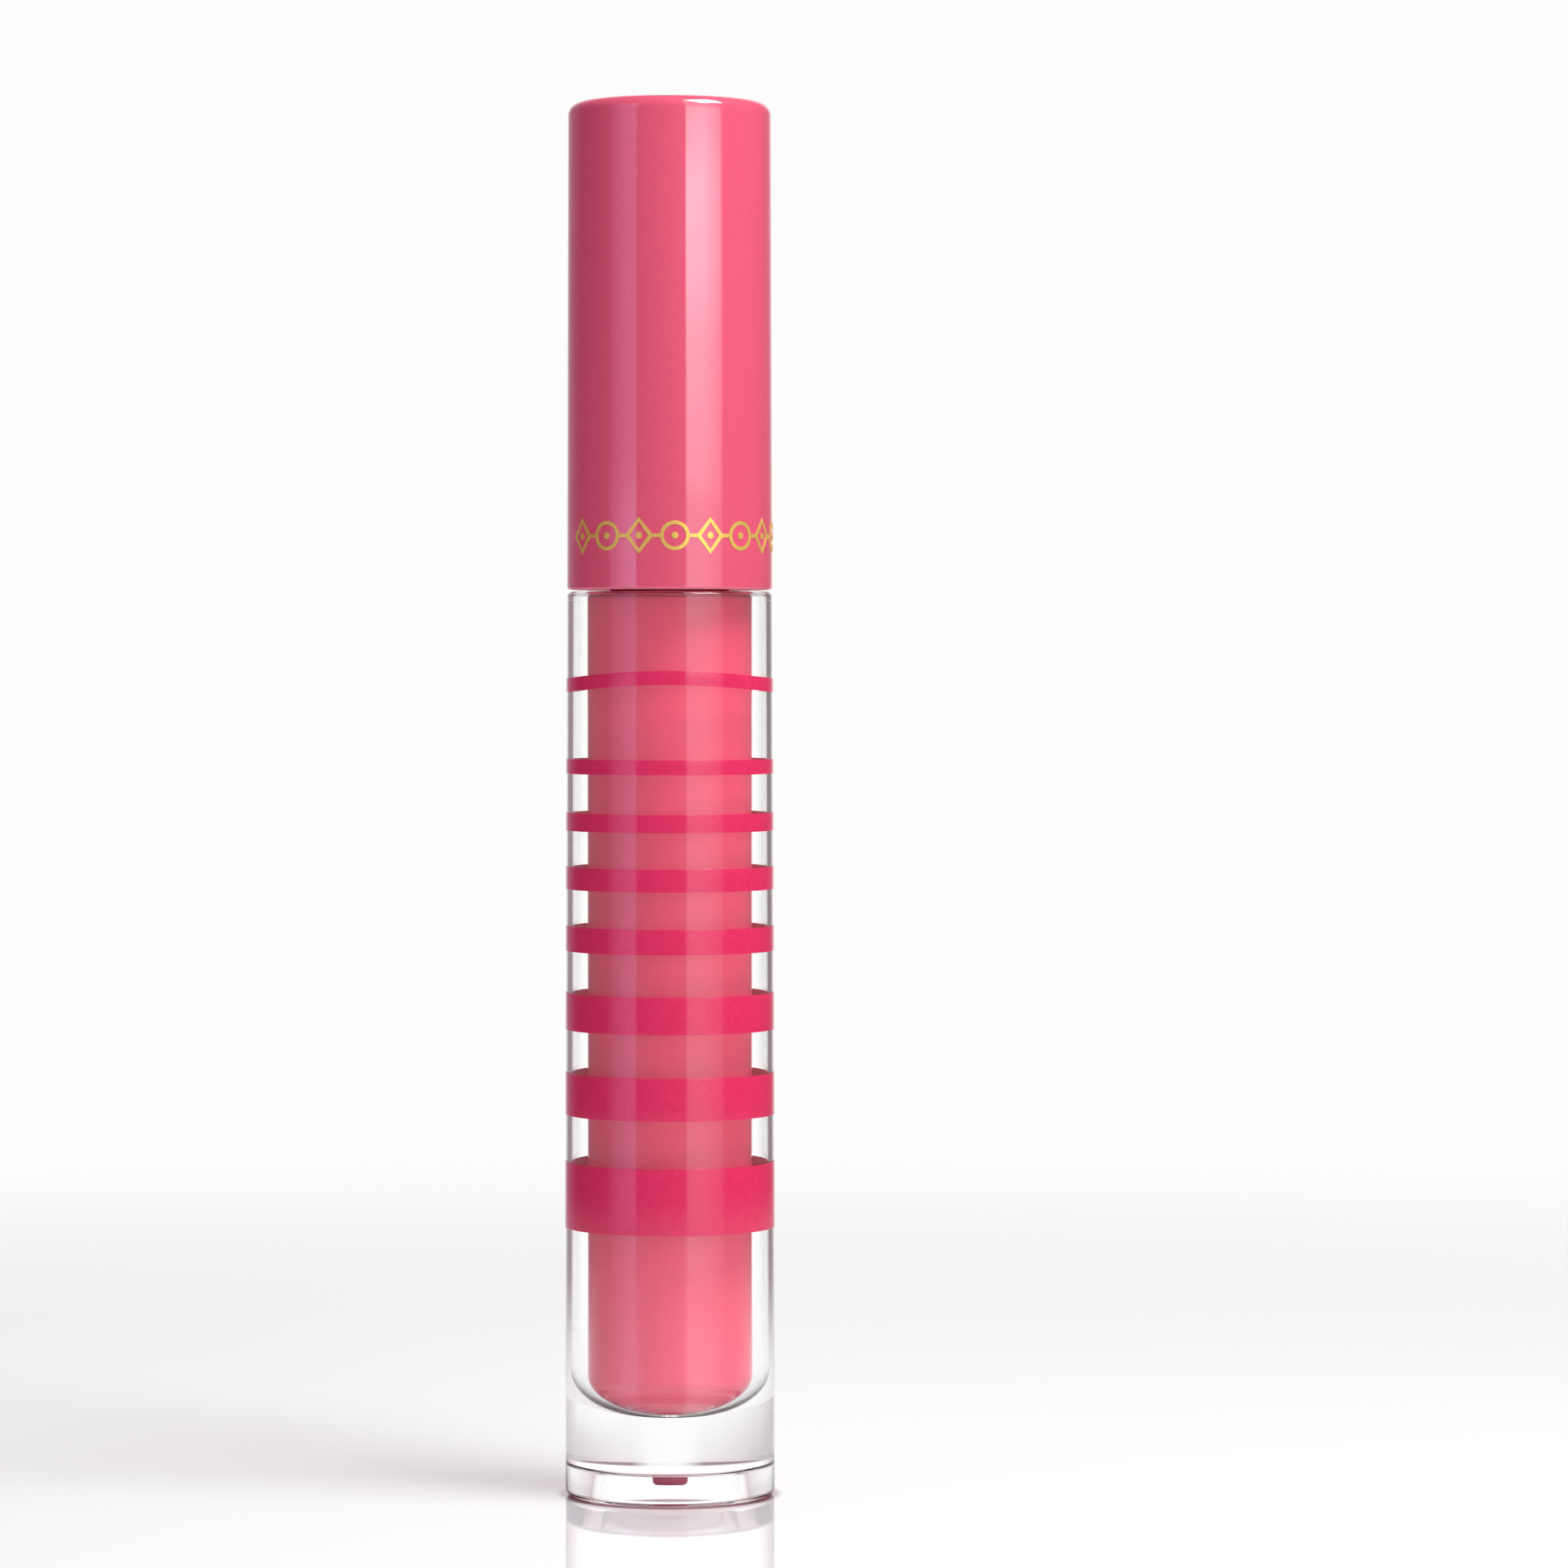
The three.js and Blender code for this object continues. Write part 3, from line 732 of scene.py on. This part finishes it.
def foil_trim():
    """The chain, as a thin solid with open motifs."""
    thick = FOIL_THICKNESS
    vertices, faces, seen = [], [], {}

    def spot(along, height, lift):
        """The number of the vertex at a point, which is made once."""
        key = (round(along, 5), round(height, 5), lift)
        if key not in seen:
            seen[key] = len(vertices)
            vertices.append(on_cap(along, height, lift))
        return seen[key]

    def face(*corners):
        loop = tuple(dict.fromkeys(spot(*c) for c in corners))
        if len(loop) > 2:
            faces.append(loop)

    def wall(a, b, at_a, at_b):
        face((a, at_a, 0), (b, at_b, 0), (b, at_b, thick), (a, at_a, thick))

    columns = foil_columns()
    for (a, outer_a, open_a), (b, outer_b, open_b) in zip(columns, columns[1:]):
        for low_a, high_a, low_b, high_b in ((open_a, outer_a, open_b, outer_b),
                                             (-outer_a, -open_a, -outer_b, -open_b)):
            face((a, low_a, thick), (b, low_b, thick), (b, high_b, thick), (a, high_a, thick))
            face((a, high_a, 0), (b, high_b, 0), (b, low_b, 0), (a, low_a, 0))
        wall(a, b, -outer_a, -outer_b)
        wall(b, a, outer_b, outer_a)
        if open_a > 0 or open_b > 0:
            wall(a, b, open_a, open_b)
            wall(b, a, -open_b, -open_a)
    for (end, outer, _), at_start in ((columns[0], True), (columns[-1], False)):
        for low, high in ((-outer, 0), (0, outer)):
            first, last = (high, low) if at_start else (low, high)
            face((end, first, 0), (end, last, 0), (end, last, thick), (end, first, thick))
    piece = make("foil_frieze", vertices, faces, GOLD, smooth_angle=30)
    stand_for(piece, "cap", "gold_foil", "foil_trim")


def foil_beads():
    """A round bead in the opening of each motif."""
    sides, size = 16, 0.28
    rows = ((0, size), (FOIL_THICKNESS, size), (FOIL_THICKNESS * 1.3, size * 0.7))
    vertices, faces = [], []
    for m in range(MOTIFS):
        rings = []
        for lift, radius in rows:
            rings.append(len(vertices))
            for a in round_angles(sides):
                along = (m + 0.5) * FOIL_PITCH + radius * math.cos(a)
                vertices.append(on_cap(along, radius * math.sin(a), lift))
        for low, high in zip(rings, rings[1:]):
            faces += tube_faces(low, high, sides)
        faces.append(tuple(rings[-1] + k for k in range(sides)))
        faces.append(tuple(rings[0] + k for k in reversed(range(sides))))
    stand_for(make("foil_beads", vertices, faces, GOLD), "cap", "gold_foil")


# ---------------------------------------------------------------- wand

def wand_stem():
    """The stem, with barbs in the cap's socket and a faint moulding line up each side."""
    peg_hole, peg_hole_top = 0.79, 24.8
    seam_height, seam_half_width, seam_angle, seam_top = 0.012, 0.03, 0.4, 89
    barbs = []
    for height in (91.5, 93, 94.5):
        barbs += [(STEM_RADIUS, height - 0.3), (STEM_RADIUS - 0.1, height - 0.15),
                  (STEM_RADIUS - 0.1, height + 0.15), (STEM_RADIUS, height + 0.3)]
    profile = rounded([
        (0, peg_hole_top),
        (peg_hole, peg_hole_top, 0.1),
        (peg_hole, STEM_BOTTOM, 0.1),
        (STEM_RADIUS, STEM_BOTTOM, 0.1),
        *barbs,
        (STEM_RADIUS, STEM_TOP, 0.3),
        (0, STEM_TOP),
    ])

    def swell(radius, height, angle):
        if radius < STEM_RADIUS - 0.1 or height > seam_top:
            return 0
        return seam_height * max(0, 1 - abs(math.sin(angle - seam_angle)) / seam_half_width)

    piece = lathe("stem_white", profile, WHITE, swell=swell, segments=128)
    stand_for(piece, "wand", "white_plastic", "wand_stem")


# The tip under its flock. Shares count from its apex to its shoulder.
TIP_LEAN = -0.95
TIP_WIDEST = 0.6
TIP_HALF_WIDTH = 1.85
TIP_SHOULDER_RADIUS = 1.3
FLOCK_DEPTH = 0.35
CORE_GROWTH = 0.1
SLOT_SHARE = 0.48
SLOT_HALF_LENGTH = 0.36
SLOT_HALF_ANGLE = 0.42


def tip_half_width(share):
    """Half width of the core: a round end that swells to the widest place and draws in again."""
    if share < TIP_WIDEST:
        return TIP_HALF_WIDTH * math.sqrt(1 - (1 - share / TIP_WIDEST) ** 2)
    past = (share - TIP_WIDEST) / (1 - TIP_WIDEST)
    swell = TIP_HALF_WIDTH - TIP_SHOULDER_RADIUS
    return TIP_SHOULDER_RADIUS + swell * math.sqrt(max(0, 1 - past ** 2))


def tip_point(share, angle, grow):
    """A point on the slanted tip, from its apex (share 0) to its shoulder (share 1)."""
    half = tip_half_width(share) + grow
    depth = half * (0.72 + 0.28 * share)
    x = TIP_LEAN * (1 - share) ** 1.5 + half * math.cos(angle)
    y = depth * math.sin(angle)
    return Vector((x, y, TIP_APEX + FLOCK_DEPTH + (TIP_TOP - TIP_APEX - FLOCK_DEPTH) * share))


def groove(share, angle):
    """How deep the front slot is at a place on the tip, from 0 to 1."""
    from_front = math.atan2(math.sin(angle + math.pi / 2), math.cos(angle + math.pi / 2))
    across = from_front / SLOT_HALF_ANGLE
    along = (share - SLOT_SHARE) / SLOT_HALF_LENGTH
    return max(0, 1 - across * across - along * along) ** 0.5


def tip_core():
    """The soft core under the flock, with a slot in its front, and its peg."""
    sides, rows, slot_depth = 64, 60, 0.75
    neck, peg = STEM_BOTTOM - 0.02, 0.75
    peg_rows = [(TIP_SHOULDER_RADIUS, TIP_TOP + 0.05), (TIP_SHOULDER_RADIUS, neck - 0.01),
                (peg, neck), (peg, 24.4), (0.6, 24.6)]
    vertices = [(TIP_LEAN, 0, TIP_APEX + FLOCK_DEPTH - CORE_GROWTH)]
    for r in range(rows + 1):
        share = r / rows
        for angle in round_angles(sides):
            grow = CORE_GROWTH - slot_depth * groove(share, angle)
            vertices.append(tip_point(share, angle, grow))
    for radius, height in peg_rows:
        vertices += [(radius * math.cos(angle), radius * math.sin(angle), height)
                     for angle in round_angles(sides)]
    starts = range(1, len(vertices), sides)
    faces = [(0, 1 + (k + 1) % sides, 1 + k) for k in range(sides)]
    for low, high in zip(starts, starts[1:]):
        faces += tube_faces(low, high, sides)
    faces.append(tuple(range(starts[-1], len(vertices))))
    stand_for(make("tip_core", vertices, faces, FLOCK), "cap", "tip_core", "applicator_core")


def flock_fibres():
    """Short fibres, with thicker points where gloss sticks some together, but none in the slot."""
    rng = random.Random(7)
    count, stuck_share, sides = 4200, 0.13, 5
    droop_ranges = ((-0.35, 0.35), (-0.35, 0.35), (-0.75, 0.1))
    vertices, faces = [], []
    for _ in range(count):
        share = rng.random() ** 0.9
        angle = rng.uniform(0, 2 * math.pi)
        if groove(share, angle) > 0.12:
            continue
        root = tip_point(share, angle, -0.02)
        out = (tip_point(share, angle, 1.0) - root).normalized()
        droop = Vector([rng.uniform(*ends) for ends in droop_ranges])
        stuck = rng.random() < stuck_share
        length = rng.uniform(0.46, 0.64) if stuck else rng.uniform(0.22, 0.34)
        width = rng.uniform(0.09, 0.14) if stuck else rng.uniform(0.045, 0.08)
        tip = root + (out + droop * 0.6).normalized() * length
        bend = root.lerp(tip, 0.55) + out * 0.03
        side = out.cross(Vector((0, 0, 1))).normalized()
        up = out.cross(side).normalized()
        base = len(vertices)
        for centre, size in ((root, width), (bend, width * 0.8), (tip, width * 0.2)):
            vertices += [centre + (side * math.cos(a) + up * math.sin(a)) * size
                         for a in round_angles(sides)]
        middle, end = base + sides, base + 2 * sides
        faces += tube_faces(base, middle, sides) + tube_faces(middle, end, sides)
        faces.append(tuple(range(end, end + sides)))
        faces.append(tuple(reversed(range(base, middle))))
    piece = make("flock_fibres", vertices, faces, FLOCK, smooth_angle=80)
    stand_for(piece, "cap", "flock", "flock_sleeve")


def lens(name, outside, inside, rings=8, sides=40):
    """A closed lens between two surfaces that meet at its rim, as functions of (rho, phi)."""
    vertices = [outside(0, 0), inside(0, 0)]
    for surface in (outside, inside):
        for r in range(1, rings + (surface is outside)):
            vertices += [surface(r / rings, angle) for angle in round_angles(sides)]
    first = [2 + r * sides for r in range(rings)]
    second = [2 + (rings + r) * sides for r in range(rings - 1)] + [first[-1]]
    faces = []
    for pole, rows, step in ((0, first, 1), (1, second, -1)):
        for k in range(sides):
            a, b = (k, (k + 1) % sides)[::step]
            faces.append((pole, rows[0] + a, rows[0] + b))
            faces += [(low + a, high + a, high + b, low + b) for low, high in zip(rows, rows[1:])]
    return make(name, vertices, faces, WET, smooth_angle=60)


def gloss_on_the_wand():
    """Wet gloss in the tip's slot, round its apex, and smeared on the stem beside the flock."""

    def slot_fill(depth, ridge):
        def surface(rho, phi):
            share = SLOT_SHARE + SLOT_HALF_LENGTH * rho * math.sin(phi)
            angle = SLOT_HALF_ANGLE * rho * math.cos(phi) - math.pi / 2
            crest = ridge * math.exp(-(rho * math.cos(phi) / 0.25) ** 2) * (1 - rho * rho)
            return tip_point(share, angle, CORE_GROWTH - depth * groove(share, angle) + crest)
        return surface

    def drop(depth):
        def surface(rho, phi):
            share = 0.2 * rho * (1 + 0.25 * math.sin(phi + 0.6))
            hang = 0.3 * math.sqrt(1 - rho * rho)
            grow = hang - depth if rho else -tip_half_width(0)
            fall = Vector((0, 0, 0.9 * hang - depth))
            return tip_point(share, -phi, max(grow, -tip_half_width(share))) - fall
        return surface

    def smear(depth):
        def surface(rho, phi):
            half_height = 0.72 + 0.16 * math.sin(2 * phi + 0.8)
            height = STEM_BOTTOM + 0.75 + half_height * rho * math.sin(phi)
            angle = 0.5 + 1.1 * rho * math.cos(phi) * (1 - 0.15 * math.sin(phi))
            return Vector(place(STEM_RADIUS + depth * (1 - rho * rho) - 0.01, angle, height))
        return surface

    stand_for(lens("slot_gloss", slot_fill(0.42, 0.12), slot_fill(0.8, 0)), "cap", "gloss")
    stand_for(lens("apex_gloss", drop(0), drop(0.12)), "cap", "gloss")
    stand_for(lens("stem_smear", smear(0.16), smear(-0.1)), "wand", "gloss")


# ---------------------------------------------------------------- stage, light and camera

def studio_floor():
    """A pale polished floor, with painted shade inside the foot's recess and a painted contact
    shadow under the foot's ring.
    It fades out into the white backdrop, and sooner for the rays that the clear plastic bends."""
    s = Surface("studio_floor", roughness=0.05, ior=1.6)
    # Painted shade: the floor is coloured a rose grey inside the recess (under) and a dark rose
    # ring under the foot, in place of the shade that falls there.
    pale, under, painted_contact_shadow = (0.86, 0.875, 0.87), (0.66, 0.56, 0.58), (0.24, 0.10, 0.12)
    away = s.from_axis()
    s.set("Base Color", s.ramp(s.span(away, 0, 1, (0, 0.02)), (0.31, under), (0.36, painted_contact_shadow),
                               (0.43, painted_contact_shadow), (0.47, pale)))
    depth = s.node("ShaderNodeLightPath").outputs["Transmission Depth"]
    bent = s.math("GREATER_THAN", depth, 0.5)
    seen = s.math("MULTIPLY", away, s.math("MULTIPLY_ADD", bent, 0.75, 1))
    far = s.node("ShaderNodeMapRange", {"Value": seen, "From Min": 0.10, "From Max": 0.32},
                 interpolation_type="SMOOTHSTEP").outputs["Result"]
    clear = s.node("ShaderNodeBsdfTransparent").outputs["BSDF"]
    s.show(s.mix(far, s.shader.outputs["BSDF"], clear))
    size = 400
    corners = [(-size, -size, 0), (size, -size, 0), (size, size, 0), (-size, size, 0)]
    make("floor", corners, [(0, 1, 2, 3)], s.material)


def softbox(name, width, height, power, colour, location, rotation):
    """A soft box that the camera doesn't see, directly or through the clear plastic."""
    data = bpy.data.lights.new(name, "AREA")
    data.shape = "RECTANGLE"
    data.size, data.size_y = width, height
    data.energy = power
    data.color = colour
    light = bpy.data.objects.new(name, data)
    light.location = location
    light.rotation_euler = rotation
    light.visible_camera = False
    light.visible_transmission = False
    bpy.context.scene.collection.objects.link(light)
    return light


def strip(name, inner, outer, distance, low, high, radiance, colour):
    """An upright softbox that covers azimuths inner to outer as seen from the tube."""
    azimuth, half = math.radians((inner + outer) / 2), math.radians(abs(outer - inner) / 2)
    width, height = 2 * distance * math.tan(half), high - low
    power = radiance * width * height * math.pi
    location = place(distance, azimuth, (low + high) / 2)
    return softbox(name, width, height, power, colour, location, (math.pi / 2, 0, azimuth))


def grade(light, up, across):
    """Sets how the light's radiance changes up its face, and across it towards the higher
    azimuth, as (share, factor)."""
    light.data.use_nodes = True
    tree = light.data.node_tree
    place_on_face = add_node(tree, "ShaderNodeNewGeometry").outputs["Parametric"]
    split = add_node(tree, "ShaderNodeSeparateXYZ", {0: place_on_face}).outputs
    strength = add_math(tree, "MULTIPLY", add_ramp(tree, split["Y"], up),
                        add_ramp(tree, split["X"], across))
    tree.links.new(strength, tree.nodes["Emission"].inputs["Strength"])


def lights():
    """A tall key at the right, graded towards its foot, a dim mauve strip at the left, a small
    high key that throws the shadow, and an even light from above that no surface mirrors."""
    key = strip("key_softbox", 18, 63, 0.26, -0.02, 0.5, 4.6, (0.88, 0.97, 1.0))
    grade(key,
          up=[(0, 0.28), (0.179, 0.28), (0.192, 0.44), (0.21, 0.46), (0.25, 0.56), (0.285, 0.78),
              (0.32, 0.85), (0.38, 0.35), (1, 0.2)],
          across=[(0, 0), (0.06, 1), (0.45, 0.95), (0.9, 0.5), (1, 0)])
    fill = strip("fill_softbox", -35, -71, 0.26, -0.02, 0.34, 1.6, (0.62, 0.6, 1.0))
    grade(fill,
          up=[(0, 0.85), (0.25, 0.85), (0.29, 0.5), (1, 0.5)],
          across=[(0, 0), (0.15, 0.35), (0.4, 0.65), (0.7, 0.95), (0.95, 1), (1, 0)])
    azimuth, elevation, distance = math.radians(60), math.radians(63), 0.5
    direction = Vector(place(math.cos(elevation), azimuth, math.sin(elevation)))
    softbox("high_key", 0.19, 0.19, 1.9, (0.92, 1.0, 0.97), direction * distance,
            (math.pi / 2 - elevation, 0, azimuth))
    top = softbox("top_softbox", 1.6, 1.6, 3.8, (1.0, 0.82, 0.90), (0, 0.2, 0.9), (0, 0, 0))
    top.visible_glossy = False


def world():
    """White for the camera, and even and dim for scattered light. Surfaces mirror a dark room
    with a white backdrop behind the tube. Rays bent by the clear plastic see a backdrop of their
    own, narrow and bright once they have crossed four faces, with a soft glow above it."""
    made = bpy.data.worlds.new("studio")
    bpy.context.scene.world = made
    made.use_nodes = True
    made.cycles.sampling_method = "NONE"
    tree = made.node_tree

    def mix(factor, off, on):
        """The colour off where the factor is 0 and the colour on where it is 1."""
        links = {0: factor, 6: off, 7: on}
        return add_node(tree, "ShaderNodeMix", links, data_type="RGBA").outputs[2]

    def span(value, low, high, **settings):
        """0 where the value is low and 1 where it is high."""
        links = {"Value": value, "From Min": low, "From Max": high}
        return add_node(tree, "ShaderNodeMapRange", links, **settings).outputs["Result"]

    def ring(*stops):
        """A colour by the angle round the tube, from the middle of the backdrop to the right."""
        return add_ramp(tree, turn, [((angle + 180) / 360, level) for angle, level in stops])

    coords = add_node(tree, "ShaderNodeTexCoord").outputs["Generated"]
    direction = add_node(tree, "ShaderNodeSeparateXYZ", {0: coords}).outputs
    turn = span(add_math(tree, "ARCTAN2", direction["X"], direction["Y"]), -math.pi, math.pi)
    rise = direction["Z"]
    overhead = span(rise, 0.35, 0.85, interpolation_type="SMOOTHSTEP")
    path = add_node(tree, "ShaderNodeLightPath").outputs
    bends = path["Transmission Depth"]

    room = ring((-180, 0.12), (-62, 0.06), (-46, (0.24, 0.17, 0.27)), (-26, (0.42, 0.36, 0.42)),
                (-14, 0.93), (0, 1.0), (14, 0.93), (26, (0.28, 0.25, 0.26)), (40, 0.10),
                (62, 0.08), (180, 0.12))
    mirrored = mix(overhead, room, (0.15, 0.15, 0.15, 1))

    edge, dull_rose = (0.34, 0.25, 0.26), (0.68, 0.52, 0.53)
    first_faces = ring((-180, 0.45), (-60, 0.55), (-42, edge), (-14, edge), (-6, 0.95), (6, 0.95),
                       (14, edge), (42, edge), (60, 0.55), (180, 0.45))
    later_faces = ring((-180, 0.25), (-40, 0.13), (-25, 0.13), (-21, 1.3), (21, 1.3), (25, 0.13),
                       (40, 0.13), (180, 0.25))
    level = mix(add_math(tree, "GREATER_THAN", bends, 3.5), first_faces, later_faces)
    low_glow = ring((-180, dull_rose), (-75, dull_rose), (-50, 1.15), (50, 1.15),
                    (75, dull_rose), (180, dull_rose))
    glow = mix(span(rise, 0.22, 0.4), low_glow, (0.50, 0.38, 0.40, 1))
    refracted = mix(span(rise, 0.08, 0.12), level, glow)

    ambient = mix(overhead, (0.36, 0.25, 0.31, 1), (0.10, 0.07, 0.085, 1))
    sharp = mix(add_math(tree, "GREATER_THAN", bends, 0.5), mirrored, refracted)
    lit = mix(add_math(tree, "GREATER_THAN", path["Diffuse Depth"], 0.5), sharp, ambient)
    shown = mix(path["Is Camera Ray"], lit, (0.98, 0.98, 0.98, 1))
    tree.links.new(shown, tree.nodes["Background"].inputs["Color"])


def camera():
    """The photograph's view: level with the middle of the tube, with the tube left of centre."""
    data = bpy.data.cameras.new("camera")
    data.lens = 130.4
    data.clip_start, data.clip_end = 0.01, 20
    eye = bpy.data.objects.new("camera", data)
    eye.location = (0.0094, -0.4676, 0.0697)
    eye.rotation_euler = (math.radians(90 - 1.36), 0, 0)
    bpy.context.scene.collection.objects.link(eye)
    bpy.context.scene.camera = eye


# ---------------------------------------------------------------- assembly

outer_shell()
inner_vial()
gloss_fill()
for band_node in BANDS:
    band(band_node)
wiper()
base_label()
cap_overshell()
cap_insert()
seal_washer()
foil_trim()
foil_beads()
wand_stem()
tip_core()
flock_fibres()
gloss_on_the_wand()
studio_floor()
lights()
world()
camera()
bpy.context.scene.view_settings.view_transform = "Standard"
